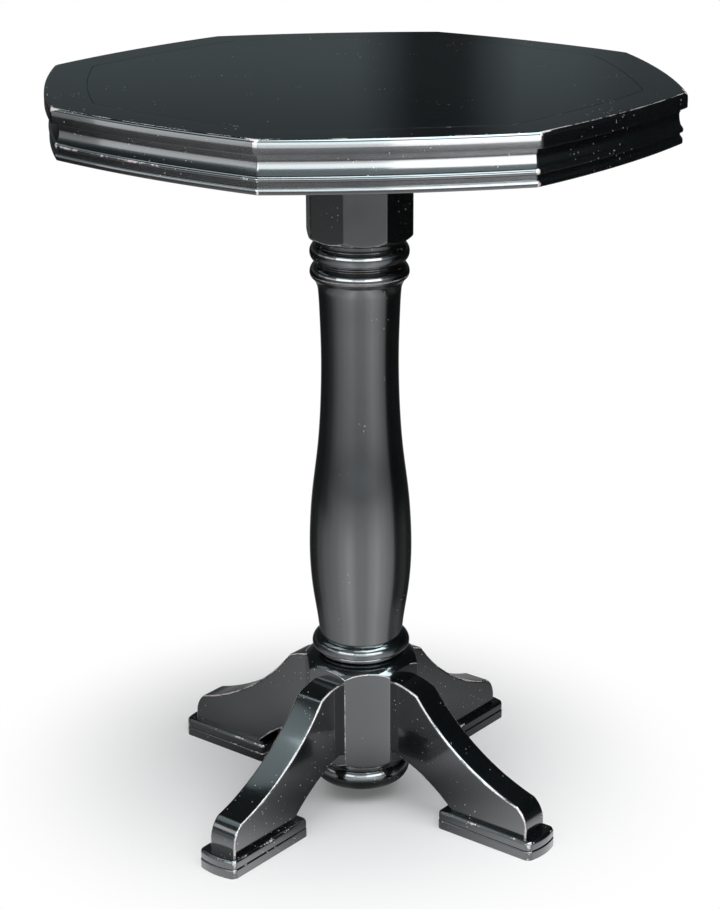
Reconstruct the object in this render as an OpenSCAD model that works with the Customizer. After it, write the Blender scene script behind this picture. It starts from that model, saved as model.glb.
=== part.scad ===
// Octagonal pub table
// An eight-sided top with bowed sides and a moulded edge, a turned column with an octagonal block
// at each end, and four bracket legs on layered feet. All of it is wood, with steel fasteners.
// Millimetres. +Z is up, and the origin is on the floor under the middle of the column. Two sides
// of the top face along X and two along Y, and the legs stand on the diagonals.

/* [Overall] */
// Height of the top surface above the floor
table_h = 1064; // [1000:1:1120]

/* [Top] */
// Width of the top between two opposite sides, measured at their corners
top_across = 818; // [700:1:900]
// How far the middle of each side bows out past its corners
side_bow = 11; // [4:0.5:16]
// Thickness of the border rails and the field panel
slab_t = 20; // [18:0.5:26]
// Radius of the rounded top edge
edge_round = 9; // [5:0.5:11]
// Radius of the eased bottom edge of the rails
edge_ease = 2; // [1:0.5:4]
// Width of the border, from its outer edge to the seam
border_w = 57; // [50:1:80]
// Open seam between the border and the field panel
seam_gap = 0.4; // [0.2:0.1:0.8]
// Thickness of the tongue round the field panel
tongue_t = 6; // [4:0.5:8]
// Reach of the tongue into the border
tongue_w = 8; // [5:0.5:10]
// Thickness of the splines in the mitres
spline_t = 4; // [3:0.5:6]
// Length of a spline across its mitre
spline_l = 30; // [20:1:40]
// Width of a spline along its mitre
spline_w = 26; // [16:1:28]

/* [Edge moulding] */
// Height of the moulding under the rails
mould_h = 47.2; // [44:0.2:60]
// Thickness of the moulding behind its face
mould_t = 24; // [20:1:30]
// How far the moulding's face lies in from the widest edge
mould_inset = 8.2; // [7:0.2:14]
// Height of the plain fillet above the cove
fillet_h = 5.8; // [3:0.2:7]
// Height of the cove
cove_h = 18.6; // [14:0.2:20]
// Depth of the cove
cove_d = 1.9; // [1:0.1:3]
// Radius of the middle bead
mid_bead_r = 4.8; // [4:0.1:5.5]
// Radius of the bottom bead
low_bead_r = 5.2; // [4:0.1:5.5]

/* [Mounting plate] */
// Corner radius of the octagonal plate under the top
plate_r = 165; // [140:1:200]
// Thickness of the plate
plate_t = 20; // [16:1:26]

/* [Column] */
// Width of the upper block between two opposite faces
neck_block_across = 142; // [130:1:160]
// Width of the base block between two opposite faces
base_block_across = 159; // [150:1:176]
// Length of the base block with its shoulders
base_block_h = 165; // [158:1:190]
// Radius of the turned shoulders on both blocks
shoulder_r = 34; // [30:1:40]
// Radius where the shoulders of the base block begin to fall away
base_shoulder_c = 57.6; // [55:0.2:60]
// Radius where the shoulder of the upper block begins to fall away
neck_shoulder_c = 50; // [48:0.5:54]
// Radius of the ring on the base block
ring_r = 64.3; // [62:0.1:68]
// Height of the ring on the base block
ring_h = 10; // [8:0.5:14]
// Largest radius of the base bead
base_bead_out = 71; // [69:0.5:76]
// Section radius of the base bead
base_bead_r = 14.5; // [13:0.5:16]
// Largest radius of the neck beads
neck_bead_out = 68.9; // [67:0.1:73]
// Section radius of the neck beads
neck_bead_r = 16; // [15:0.2:17]
// Spacing of the two neck beads
neck_bead_pitch = 28; // [26:0.5:30]
// Largest radius of the vase
belly_r = 72.6; // [68:0.2:78]
// Smallest radius of the vase
waist_r = 54; // [50:0.2:56]
// Length of the vase
vase_h = 525.5; // [480:0.5:560]
// Radius of the plain fillet above the neck beads
neck_fillet_r = 62.5; // [61:0.1:64]

/* [Bun finial] */
// Height of the bun's underside above the floor
bun_clear = 24.5; // [15:0.5:35]
// Height of the bun with the fillet above it
bun_h = 38; // [34:0.5:44]
// Largest radius of the bun
bun_out = 71.6; // [68:0.2:76]
// Section radius of the bun's roll
bun_roll_r = 19; // [16:0.5:20]
// Radius of the fillet above the bun
bun_fillet_r = 66; // [64.5:0.5:67]
// Height of the spigot in the base block's bore
spigot_h = 12; // [8:1:16]

/* [Legs] */
// Thickness of a leg board
leg_t = 46; // [38:1:56]
// Distance of the toe from the column's axis
leg_reach = 314.5; // [290:0.5:340]
// Distance of the toe's upper corner in from the toe
toe_back = 16.5; // [12:0.5:22]
// Height of the toe's upper corner above the floor
toe_h = 71.7; // [66:0.1:84]
// Height at which the toe turns upright
toe_turn_h = 40; // [36:0.5:44]
// How far the leg's top lies below the top of the base block
leg_drop = 25.5; // [22:0.5:34]
// Length of the sloping top next to the block
knee_l = 40; // [30:0.5:50]
// Fall of that top over its length
knee_drop = 10.7; // [8:0.1:14]
// Height of the leg's lower edge at the block, above the bottom of the block
arch_lift = 26; // [18:0.5:34]
// Distance from the column's axis at which the arch meets the foot
arch_foot = 183; // [176:0.5:196]
// Radius of the knee
knee_r = 108; // [90:1:160]
// Radius of the long hollow curve
hollow_r = 343; // [300:1:420]
// Radius of the toe
toe_r = 38; // [34:0.5:50]
// Radius of the arch
arch_r = 247; // [200:1:320]

/* [Feet] */
// Length of a foot from its inner end to its outer corners
foot_l = 158; // [150:0.5:176]
// Width of a foot
foot_w = 67; // [60:0.5:76]
// How far the outer corners lie past the toe
foot_past_toe = 10.3; // [6:0.1:16]
// Bow of the outer end
foot_bow = 6.2; // [3:0.1:9]
// Thickness of the lower layer
pad_t = 14; // [12:0.5:18]
// Thickness of the upper layer
cap_t = 14; // [12:0.5:18]
// Radius of the upper layer's top edge
cap_round = 5; // [3:0.5:6]
// Radius of the edges that form the groove between the layers
groove_round = 2.2; // [1:0.2:3]
// Radius of the upright corners of a foot
foot_corner = 4; // [2:0.5:6]
// How far the upper layer stands in from the lower one
cap_inset = 1.2; // [0.4:0.2:2]

/* [Fasteners] */
// Radius of the bore in the base block
bore_r = 42; // [40:0.5:44]
// Depth of that bore from the bottom of the block
bore_depth = 132; // [128:1:145]
// Diameter of the hanger bolts
bolt_d = 8; // [6:1:10]
// Length of the hanger bolts
bolt_l = 90; // [80:1:100]
// Clearance hole for a hanger bolt in the block's wall
bolt_hole_d = 8.6; // [8.2:0.1:9]
// Height of the lower bolts above the bottom of the block
bolt_low_h = 48; // [44:1:54]
// Height of the upper bolts above the lower ones
bolt_pitch_h = 60; // [50:1:66]
// Outer diameter of the washers
washer_d = 20; // [18:1:22]
// Thickness of the washers
washer_t = 1.6; // [1.2:0.1:2]
// Width across the flats of the nuts
nut_across = 13; // [13:1:15]
// Thickness of the nuts
nut_t = 6.5; // [5:0.5:8]
// Room between a screw and the hole it is driven into
screw_room = 0.05; // [0.02:0.01:0.1]

/* [Hidden] */
SIDES = ["front", "front_right", "right", "back_right", "back", "back_left", "left", "front_left"];
CORNERS = ["front_right", "back_right", "back_left", "front_left"];
function side_angle(i) = -90 + 45 * i;
function corner_angle(i) = -45 + 90 * i;

LACQUER = "#23282a";
LACQUER_TOP = "#2b3032";
BARE_WOOD = "#b99a6b";
STEEL = "#b4b8ba";

// Smoothness: steps in a drawn arc, and segments in a full turn
arc_steps = 10;
turn_fn = 96;
edge_fn = 720;

// Where the arcs of the beads begin and end, in degrees below and above their widest line
base_bead_low = 18;
base_bead_high = 76;
neck_bead_low = 55;
neck_bead_high = 51;
vase_quirk = 1.5;
neck_fillet_h = 1;

// Heights up the table
slab_z = table_h - slab_t;
plate_z = slab_z - plate_t;
base_z = bun_clear + bun_h;
base_top = base_z + base_block_h;
ring_top = base_top + ring_h;
bead_z = ring_top + base_bead_r * sin(base_bead_low);
vase_z = bead_z + base_bead_r * sin(base_bead_high) + vase_quirk;
neck_z = vase_z + vase_h;
low_neck_z = neck_z + neck_bead_r * sin(neck_bead_low);
high_neck_z = low_neck_z + neck_bead_pitch;
neck_fillet_z = high_neck_z + neck_bead_r * sin(neck_bead_high);
neck_block_z = neck_fillet_z + neck_fillet_h;
foot_h = pad_t + cap_t;

// The top's outline: each side is an arc of a large circle
half_side = top_across / 2 * tan(22.5);
side_r = (half_side * half_side + side_bow * side_bow) / (2 * side_bow);
side_c = side_r - top_across / 2 - side_bow;
joint_room = 0.1;
glue_room = 0.1;

// Blocks
neck_apothem = neck_block_across / 2;
base_apothem = base_block_across / 2;
shoulder_flat = 8;
overlap = 6;

// Arc points about a centre, from one angle to another
function arc(c, r, a0, a1, n = arc_steps) =
    [for (i = [0:n]) let (a = a0 + (a1 - a0) * i / n) c + r * [cos(a), sin(a)]];

// Arc points from p to q; the centre lies to the left of p-q, or to the right when r is negative
function arc_to(p, q, r, n = arc_steps) =
    let (
        d = norm(q - p),
        left = [p[1] - q[1], q[0] - p[0]] / d,
        c = (p + q) / 2 + left * sign(r) * sqrt(r * r - d * d / 4),
        a0 = atan2(p[1] - c[1], p[0] - c[0]),
        sweep = 2 * asin(d / 2 / abs(r)) * sign(r))
    [for (i = [0:n]) let (a = a0 + sweep * i / n) c + abs(r) * [cos(a), sin(a)]];

// Smooth curve through the middle points of a list, which has one spare point at each end
function smooth(p, n = 4) =
    [for (i = [1:len(p) - 3]) for (j = [0:n - 1]) let (t = j / n)
        0.5 * (2 * p[i] + (p[i + 1] - p[i - 1]) * t
            + (2 * p[i - 1] - 5 * p[i] + 4 * p[i + 1] - p[i + 2]) * t * t
            + (3 * p[i] - p[i - 1] - 3 * p[i + 1] + p[i + 2]) * t * t * t)];

// A disc whose rim follows one bowed side, moved in from the widest edge by inset
module side_disc(i, inset, h) {
    rotate([0, 0, side_angle(i)]) translate([-side_c, 0, 0])
        cylinder(r = side_r - inset, h = h, $fn = edge_fn);
}

// The top's whole outline, moved in by inset
module top_plan(inset, h) {
    intersection_for (i = [0:7]) side_disc(i, inset, h);
}

// One bowed side swept from a section of points [distance in from the edge, height], mitred
module side_sweep(i, section, z0, h) {
    reach = 1.2 * top_across / 2;
    turn = asin(1.1 * half_side / side_r);
    rotate([0, 0, side_angle(i)]) intersection() {
        translate([-side_c, 0, 0]) rotate([0, 0, -turn])
            rotate_extrude(angle = 2 * turn, $fn = edge_fn)
                polygon([for (p = section) [side_r - p[0], p[1]]]);
        translate([0, 0, z0 - 1]) linear_extrude(h + 2)
            polygon([[0, 0], [reach, -reach * tan(22.5)], [reach, reach * tan(22.5)]]);
    }
}

// Countersunk screw along +Z with its head's face at z = 0 and its point up
module wood_screw(d, l, head_d) {
    head_h = (head_d - d) / 2;
    tip_h = 1.2 * d;
    difference() {
        union() {
            cylinder(r1 = head_d / 2, r2 = d / 2, h = head_h, $fn = 32);
            cylinder(r = d / 2, h = l - tip_h, $fn = 32);
            translate([0, 0, l - tip_h]) cylinder(r1 = d / 2, r2 = d / 10, h = tip_h, $fn = 32);
        }
        for (a = [0, 90]) rotate([0, 0, a])
            translate([-head_d * 0.3, -d * 0.1, -1]) cube([head_d * 0.6, d * 0.2, 1 + d * 0.35]);
    }
}

// The hole that such a screw sits in, opened at its head to the given depth
module screw_hole(d, l, head_d, sink = 1) {
    head_h = (head_d - d) / 2;
    translate([0, 0, -sink]) cylinder(r = head_d / 2 + screw_room, h = sink, $fn = 32);
    cylinder(r1 = head_d / 2 + screw_room, r2 = d / 2 + screw_room, h = head_h, $fn = 32);
    cylinder(r = d / 2 + screw_room, h = l + 1, $fn = 32);
}

// Places of the fasteners
plate_screw_d = 4.5;
plate_screw_l = plate_t + slab_t * 0.65;
plate_screw_head = 9;
plate_screw_r = plate_r * 0.76;
column_screw_d = 6;
column_screw_l = 80;
column_screw_head = 12;
column_screw_r = neck_apothem * 0.62;
mould_screw_d = 4;
mould_screw_l = 36;
mould_screw_head = 8;
mould_screw_in = mould_inset + mould_t * 0.55;
mould_screw_x = half_side * 0.6;
mould_screw_z = slab_z + slab_t * 0.62 - mould_screw_l;
bun_screw_d = 5;
bun_screw_l = 55;
bun_screw_head = 10;
bun_screw_r = (bore_r + base_shoulder_c) / 2;
bun_screw_sink = 8;
foot_screw_d = 5;
foot_screw_bite = 26;
foot_screw_l = foot_h + foot_screw_bite;
foot_screw_head = 10;
foot_screw_sink = 2;
foot_screw_heel = 22;
foot_screw_toe = 30;
foot_screw_r = [arch_foot + foot_screw_heel, leg_reach - foot_screw_toe];

module at_plate_screws() {
    for (i = [0:7]) rotate([0, 0, 45 * i + 22.5]) translate([plate_screw_r, 0, plate_z]) children();
}
module at_column_screws() {
    for (i = [0:3]) rotate([0, 0, 90 * i]) translate([column_screw_r, 0, slab_z])
        mirror([0, 0, 1]) children();
}
module at_mould_screws(i) {
    for (x = [-mould_screw_x, mould_screw_x])
        rotate([0, 0, side_angle(i)])
            translate([sqrt(side_r * side_r - x * x) - side_c - mould_screw_in, x, mould_screw_z])
                children();
}
module at_bun_screws() {
    for (i = [0:3]) rotate([0, 0, 90 * i])
        translate([bun_screw_r, 0, bun_clear + bun_screw_sink]) children();
}
module at_foot_screws(i) {
    for (r = foot_screw_r) rotate([0, 0, corner_angle(i)])
        translate([r, 0, foot_screw_sink]) children();
}
// A hanger bolt's axis, drawn outwards along +Z from the column's axis
module at_leg_bolts(i) {
    for (z = [bolt_low_h, bolt_low_h + bolt_pitch_h])
        translate([0, 0, base_z + z]) rotate([0, 0, corner_angle(i)]) rotate([0, 90, 0]) children();
}

// Top

module field_panel() {
    inset = border_w + seam_gap;
    mid = slab_z + slab_t / 2;
    color(LACQUER_TOP) difference() {
        union() {
            translate([0, 0, slab_z]) top_plan(inset, slab_t);
            translate([0, 0, mid - tongue_t / 2]) top_plan(border_w - tongue_w, tongue_t);
        }
        at_plate_screws() screw_hole(plate_screw_d, plate_screw_l, plate_screw_head);
    }
}

// Section of a rail: rounded at the top, eased at the bottom, grooved at the back
function rail_section() =
    let (
        zt = slab_z + slab_t,
        g = tongue_t / 2 + joint_room,
        mid = slab_z + slab_t / 2,
        back = border_w - tongue_w - joint_room)
    concat(
        arc([edge_ease, slab_z + edge_ease], edge_ease, 270, 180, 4),
        arc([edge_round, zt - edge_round], edge_round, 180, 90),
        [[border_w, zt], [border_w, mid + g], [back, mid + g], [back, mid - g],
         [border_w, mid - g], [border_w, slab_z]]);

spline_in = 14;
spline_z = slab_z + slab_t / 2;
spline_room = 0.1;

// A spline lies across the mitre between side i and the next one
module at_mitre(i) {
    rotate([0, 0, side_angle(i) + 22.5]) children();
}
module spline_blank(room) {
    outer = top_across / 2 / cos(22.5) - spline_in;
    translate([outer - spline_w - room, -spline_l / 2 - room, spline_z - spline_t / 2 - room])
        cube([spline_w + 2 * room, spline_l + 2 * room, spline_t + 2 * room]);
}

module border_rail(i) {
    color(LACQUER_TOP) difference() {
        side_sweep(i, rail_section(), slab_z, slab_t);
        at_mitre(i) spline_blank(spline_room);
        at_mitre(i - 1) spline_blank(spline_room);
        at_mould_screws(i) screw_hole(mould_screw_d, mould_screw_l, mould_screw_head);
    }
}

module mitre_splines() {
    color(BARE_WOOD) for (i = [0:7]) at_mitre(i) spline_blank(0);
}

// Section of the edge moulding, from the top down: fillet, cove, bead, quirk, bead
function mould_section() =
    let (
        z_cove = slab_z - fillet_h,
        z_cove_end = z_cove - cove_h,
        z_mid = z_cove_end - mid_bead_r,
        z_bottom = slab_z - mould_h,
        z_low = z_bottom + low_bead_r,
        face = mould_inset,
        back = mould_inset + mould_t,
        top_face = face + 1.2,
        cove_top = face + 0.4,
        cove_end = face - 0.9,
        mid_c = face + 0.2,
        low_c = face + 1.5,
        mid_turn = [110, 255],
        low_turn = [105, 270],
        cove_r = (cove_h * cove_h / 4 + cove_d * cove_d) / (2 * cove_d))
    concat(
        [[back, slab_z], [top_face, slab_z], [top_face, z_cove]],
        arc_to([cove_top, z_cove], [cove_end, z_cove_end], -cove_r),
        arc([mid_c, z_mid], mid_bead_r, mid_turn[0], mid_turn[1]),
        [[face, z_mid - mid_bead_r], [face, z_low + low_bead_r]],
        arc([low_c, z_low], low_bead_r, low_turn[0], low_turn[1]),
        [[back, z_bottom]]);

module edge_moulding(i) {
    color(LACQUER) difference() {
        side_sweep(i, mould_section(), slab_z - mould_h, mould_h);
        at_mould_screws(i) screw_hole(mould_screw_d, mould_screw_l, mould_screw_head, mould_h);
    }
}

module moulding_screws() {
    color(STEEL) for (i = [0:7]) at_mould_screws(i)
        wood_screw(mould_screw_d, mould_screw_l, mould_screw_head);
}

// A glue block fills the corner behind two mouldings and lies under the rails
block_deep = 26;
block_wide = 64;
block_short = 8;
block_h = mould_h - block_short;
module corner_block(i) {
    behind = mould_inset + mould_t + glue_room;
    corner = (top_across / 2 - behind) / cos(22.5);
    color(BARE_WOOD) translate([0, 0, slab_z - block_h]) intersection() {
        side_disc(i, behind, block_h);
        side_disc(i + 1, behind, block_h);
        at_mitre(i) translate([corner - block_deep, -block_wide / 2, 0])
            cube([2 * block_deep, block_wide, block_h]);
    }
}

// Pedestal

module mounting_plate() {
    color(BARE_WOOD) difference() {
        rotate([0, 0, 22.5]) translate([0, 0, plate_z]) cylinder(r = plate_r, h = plate_t, $fn = 8);
        at_plate_screws() screw_hole(plate_screw_d, plate_screw_l, plate_screw_head);
        at_column_screws() screw_hole(column_screw_d, column_screw_l, column_screw_head);
    }
}

module plate_screws() {
    color(STEEL) at_plate_screws() wood_screw(plate_screw_d, plate_screw_l, plate_screw_head);
}

module column_screws() {
    color(STEEL) at_column_screws() wood_screw(column_screw_d, column_screw_l, column_screw_head);
}

// Vase: share of its length, and share of the way from the waist to the belly
VASE = [
    [-0.02, 0.30], [0, 0.33], [0.047, 0.47], [0.116, 0.76], [0.188, 0.94], [0.259, 1], [0.33, 0.94],
    [0.4, 0.8], [0.47, 0.57], [0.54, 0.33], [0.608, 0.166], [0.68, 0.06], [0.77, 0], [0.842, 0.03],
    [0.908, 0.11], [0.963, 0.19], [0.986, 0.29], [1, 0.44], [1.02, 0.7]];

// Turned outline of the column between its two blocks, as [radius, height]
function turned_outline() =
    let (
        ring_half = ring_h / 2 - 0.2,
        ring_c = ring_r - ring_half,
        bead_c = base_bead_out - base_bead_r,
        neck_c = neck_bead_out - neck_bead_r,
        fillet_top = neck_block_z + overlap / 2)
    concat(
        [[0, base_top - overlap], [ring_c, base_top - overlap]],
        arc([ring_c, base_top + ring_h / 2], ring_half, -90, 90, 8),
        [[ring_c, ring_top]],
        arc([bead_c, bead_z], base_bead_r, -base_bead_low, base_bead_high, 12),
        smooth([for (v = VASE) [waist_r + (belly_r - waist_r) * v[1], vase_z + vase_h * v[0]]]),
        arc([neck_c, low_neck_z], neck_bead_r, -neck_bead_low, neck_bead_high, 12),
        arc([neck_c, high_neck_z], neck_bead_r, -neck_bead_high, neck_bead_high, 12),
        [[neck_fillet_r, neck_fillet_z], [neck_fillet_r, fillet_top],
         [neck_shoulder_c, fillet_top], [neck_shoulder_c, neck_block_z + 2 * overlap],
         [0, neck_block_z + 2 * overlap]]);

// Outline that a turned shoulder leaves on a block; the faces of the block trim its outside
function shoulder_outline(z0, z1, c, both) =
    let (wide = c + shoulder_r)
    concat(
        [[0, z0]],
        arc([c, z0 + shoulder_r], shoulder_r, shoulder_flat - 90, 0),
        both ? arc([c, z1 - shoulder_r], shoulder_r, 0, 90 - shoulder_flat) : [[wide, z1]],
        [[0, z1]]);

module block(across, z0, z1, c, both) {
    intersection() {
        rotate([0, 0, 22.5]) translate([0, 0, z0])
            cylinder(r = across / 2 / cos(22.5), h = z1 - z0, $fn = 8);
        rotate_extrude($fn = turn_fn) polygon(shoulder_outline(z0, z1, c, both));
    }
}

module column() {
    color(LACQUER) difference() {
        union() {
            block(base_block_across, base_z, base_top, base_shoulder_c, true);
            rotate_extrude($fn = turn_fn) polygon(turned_outline());
            block(neck_block_across, neck_block_z, plate_z, neck_shoulder_c, false);
        }
        translate([0, 0, base_z - 1]) cylinder(r = bore_r, h = bore_depth + 1, $fn = turn_fn);
        for (i = [0:3]) at_leg_bolts(i) {
            cylinder(r = bolt_hole_d / 2, h = base_block_across, $fn = 32);
            cylinder(r = washer_d / 2 + seat_room_r, h = seat_r, $fn = 48);
        }
        at_bun_screws() screw_hole(bun_screw_d, bun_screw_l, bun_screw_head);
        at_column_screws() screw_hole(column_screw_d, column_screw_l, column_screw_head);
    }
}

// Quirk cut between the bun's roll and its fillet
bun_quirk_in = 2.5;
bun_quirk_h = 1.2;

module bun_finial() {
    top = base_z;
    roll_c = bun_out - bun_roll_r;
    roll_z = bun_clear + bun_roll_r;
    lip = acos((bun_fillet_r - roll_c) / bun_roll_r);
    lip_z = roll_z + bun_roll_r * sin(lip);
    quirk_r = bun_fillet_r - bun_quirk_in;
    color(LACQUER) difference() {
        rotate_extrude($fn = turn_fn) polygon(concat(
            [[0, bun_clear]],
            arc([roll_c, roll_z], bun_roll_r, -90, lip, 16),
            [[quirk_r, lip_z], [quirk_r, lip_z + bun_quirk_h],
             [bun_fillet_r, lip_z + bun_quirk_h], [bun_fillet_r, top],
             [bore_r - joint_room, top], [bore_r - joint_room, top + spigot_h], [0, top + spigot_h]]));
        at_bun_screws() screw_hole(bun_screw_d, bun_screw_l, bun_screw_head, bun_screw_sink + 1);
    }
}

module bun_screws() {
    color(STEEL) at_bun_screws() wood_screw(bun_screw_d, bun_screw_l, bun_screw_head);
}

// Legs and feet

// Side of a leg as [distance from the column's axis, height]
function leg_outline() =
    let (
        top = [base_apothem, base_top - leg_drop],
        knee = top + [knee_l, -knee_drop],
        toe = [leg_reach - toe_back, toe_h],
        turn = [leg_reach, toe_turn_h],
        heel = [arch_foot, foot_h],
        root = [base_apothem, base_z + arch_lift])
    concat(
        arc_to(top, knee, -knee_r, 6),
        arc_to(knee, toe, hollow_r, 20),
        arc_to(toe, turn, -toe_r),
        [[leg_reach, foot_h]],
        arc_to(heel, root, arch_r, 14));

module leg(i) {
    color(LACQUER) difference() {
        rotate([0, 0, corner_angle(i)]) rotate([90, 0, 0])
            translate([0, 0, -leg_t / 2]) linear_extrude(leg_t) polygon(leg_outline());
        at_leg_bolts(i) cylinder(r = bolt_d / 2 + screw_room, h = bolt_end + 1, $fn = 32);
        at_foot_screws(i) screw_hole(foot_screw_d, foot_screw_l, foot_screw_head);
    }
}

// Each washer lies on a flat seat, cut a little way into the wall of the bore
seat_depth = 1.5;
seat_room_r = 1;
seat_r = bore_r + seat_depth;
bolt_over_l = 2;
bolt_tip = 6;
bolt_point_r = 1;
bolt_start = seat_r - washer_t - nut_t - bolt_over_l;
bolt_end = bolt_start + bolt_l;

module leg_bolts() {
    color(STEEL) for (i = [0:3]) at_leg_bolts(i) {
        translate([0, 0, bolt_start]) cylinder(r = bolt_d / 2, h = bolt_l - bolt_tip, $fn = 32);
        translate([0, 0, bolt_end - bolt_tip])
            cylinder(r1 = bolt_d / 2, r2 = bolt_point_r, h = bolt_tip, $fn = 32);
    }
}

module leg_washers() {
    color(STEEL) for (i = [0:3]) at_leg_bolts(i)
        translate([0, 0, seat_r - washer_t]) difference() {
            cylinder(r = washer_d / 2, h = washer_t, $fn = 32);
            translate([0, 0, -1]) cylinder(r = bolt_hole_d / 2, h = washer_t + 2, $fn = 32);
        }
}

module leg_nuts() {
    color(STEEL) for (i = [0:3]) at_leg_bolts(i)
        translate([0, 0, seat_r - washer_t - nut_t]) difference() {
            cylinder(r = nut_across / 2 / cos(30), h = nut_t, $fn = 6);
            translate([0, 0, -1])
                cylinder(r = bolt_d / 2 + screw_room, h = nut_t + 2, $fn = 32);
        }
}

foot_out = leg_reach + foot_past_toe;
foot_in = foot_out - foot_l;
foot_end_r = (foot_w * foot_w / 4 + foot_bow * foot_bow) / (2 * foot_bow);

// One layer of a foot: the common part of a rounded bar, a rounded disc and a rounded plan
module foot_layer(z, t, top_round, low_round, inset) {
    w = foot_w / 2 - inset;
    x0 = foot_in + inset;
    x1 = foot_out - inset;
    end_r = foot_end_r - inset;
    end_c = foot_out + foot_bow - foot_end_r;
    cross = concat(
        arc([w - low_round, low_round], low_round, -90, 0, 5),
        arc([w - top_round, t - top_round], top_round, 0, 90, 8));
    long = concat(
        arc([x0 + top_round, t - top_round], top_round, 90, 180, 8),
        arc([x0 + low_round, low_round], low_round, 180, 270, 5));
    plan = [for (s = [-1, 1], p = s < 0
        ? concat([[x1 + foot_bow, -w + foot_corner]],
            arc([x1 - foot_corner, -w + foot_corner], foot_corner, 0, -90, 5),
            arc([x0 + foot_corner, -w + foot_corner], foot_corner, -90, -180, 5))
        : concat(arc([x0 + foot_corner, w - foot_corner], foot_corner, 180, 90, 5),
            arc([x1 - foot_corner, w - foot_corner], foot_corner, 90, 0, 5),
            [[x1 + foot_bow, w - foot_corner]])) p];
    translate([0, 0, z]) intersection() {
        linear_extrude(t) polygon(plan);
        translate([x0, 0, 0]) rotate([90, 0, 90]) linear_extrude(foot_l + foot_bow)
            polygon(concat(cross, [for (i = [len(cross) - 1:-1:0]) [-cross[i][0], cross[i][1]]]));
        translate([0, w + 1, 0]) rotate([90, 0, 0]) linear_extrude(2 * w + 2)
            polygon(concat(long, [[x1 + 2 * foot_bow, 0], [x1 + 2 * foot_bow, t]]));
        translate([end_c, 0, 0]) rotate_extrude($fn = 240) polygon(concat(
            [[0, 0]],
            arc([end_r - low_round, low_round], low_round, -90, 0, 5),
            arc([end_r - top_round, t - top_round], top_round, 0, 90, 8),
            [[0, t]]));
    }
}

module foot_cap(i) {
    color(LACQUER) difference() {
        rotate([0, 0, corner_angle(i)]) foot_layer(pad_t, cap_t, cap_round, groove_round, cap_inset);
        at_foot_screws(i) screw_hole(foot_screw_d, foot_screw_l, foot_screw_head);
    }
}

// Eased lower edge of the pad
pad_ease = 0.6;

module foot_pad(i) {
    color(LACQUER) difference() {
        rotate([0, 0, corner_angle(i)]) foot_layer(0, pad_t, groove_round, pad_ease, 0);
        at_foot_screws(i)
            screw_hole(foot_screw_d, foot_screw_l, foot_screw_head, foot_screw_sink + 1);
    }
}

module foot_screws() {
    color(STEEL) for (i = [0:3]) at_foot_screws(i)
        wood_screw(foot_screw_d, foot_screw_l, foot_screw_head);
}

field_panel();
for (i = [0:7]) border_rail(i);
mitre_splines();
for (i = [0:7]) edge_moulding(i);
moulding_screws();
for (i = [0:7]) corner_block(i);
mounting_plate();
plate_screws();
column_screws();
column();
bun_finial();
bun_screws();
for (i = [0:3]) leg(i);
leg_bolts();
leg_washers();
leg_nuts();
for (i = [0:3]) foot_cap(i);
for (i = [0:3]) foot_pad(i);
foot_screws();
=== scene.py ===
import math

import bmesh
import bpy
import numpy as np
from mathutils import Matrix, Vector
from mathutils.kdtree import KDTree


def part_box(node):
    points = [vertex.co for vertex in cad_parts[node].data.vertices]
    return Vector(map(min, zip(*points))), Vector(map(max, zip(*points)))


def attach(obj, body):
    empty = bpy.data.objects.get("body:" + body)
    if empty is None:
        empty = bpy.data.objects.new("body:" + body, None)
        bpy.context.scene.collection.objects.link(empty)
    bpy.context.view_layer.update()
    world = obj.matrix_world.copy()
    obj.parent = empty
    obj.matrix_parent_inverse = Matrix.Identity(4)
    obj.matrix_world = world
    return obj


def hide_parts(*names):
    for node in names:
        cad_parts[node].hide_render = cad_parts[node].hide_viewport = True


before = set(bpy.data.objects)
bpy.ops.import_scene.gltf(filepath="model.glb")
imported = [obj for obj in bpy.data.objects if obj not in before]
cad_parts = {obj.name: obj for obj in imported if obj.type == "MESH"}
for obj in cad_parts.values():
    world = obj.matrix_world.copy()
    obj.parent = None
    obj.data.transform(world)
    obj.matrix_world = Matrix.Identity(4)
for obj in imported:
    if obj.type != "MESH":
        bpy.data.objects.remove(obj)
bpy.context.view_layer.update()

# Sizes taken from the frame

MM = 0.001
EIGHTH = math.radians(45)
SIDES = ("front", "front_right", "right", "back_right", "back", "back_left", "left", "front_left")
CORNERS = ("front_right", "back_right", "back_left", "front_left")


def low(node):
    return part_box(node)[0]


def high(node):
    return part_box(node)[1]


TOP_Z = high("field_panel").z
SLAB_Z = low("field_panel").z
MOULD_Z = low("edge_moulding_front").z
PLATE_Z = low("mounting_plate").z
BASE_Z = high("foot_pad_front_right").z
CAP_Z = high("foot_cap_front_right").z
BUN_Z = low("bun_finial").z
SIDE_REACH = high("border_rail_right").x

# Sizes of the top

SIDE_BOW = 11 * MM
EDGE_R = 4.2 * MM
FACE_R = 60 * MM
FACE_TURN = 6.5
EDGE_EASE = 2 * MM
BORDER_W = 57 * MM
SEAM = 0.4 * MM
TONGUE_T = 6 * MM
TONGUE_W = 8 * MM
JOINT_ROOM = 0.1 * MM
CORNER_EASE = 3.4 * MM
MOULD_EASE = 2.1 * MM
SEAM_EASE = 0.5 * MM
MOULD_INSET = 8.2 * MM
MOULD_T = 24 * MM
MOULD_SCREW_L = 36 * MM
MOULD_HEAD_Z = SLAB_Z + 0.62 * (TOP_Z - SLAB_Z) - MOULD_SCREW_L
MOULD_HOLE_R = 4.05 * MM

# Sizes of the column

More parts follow.
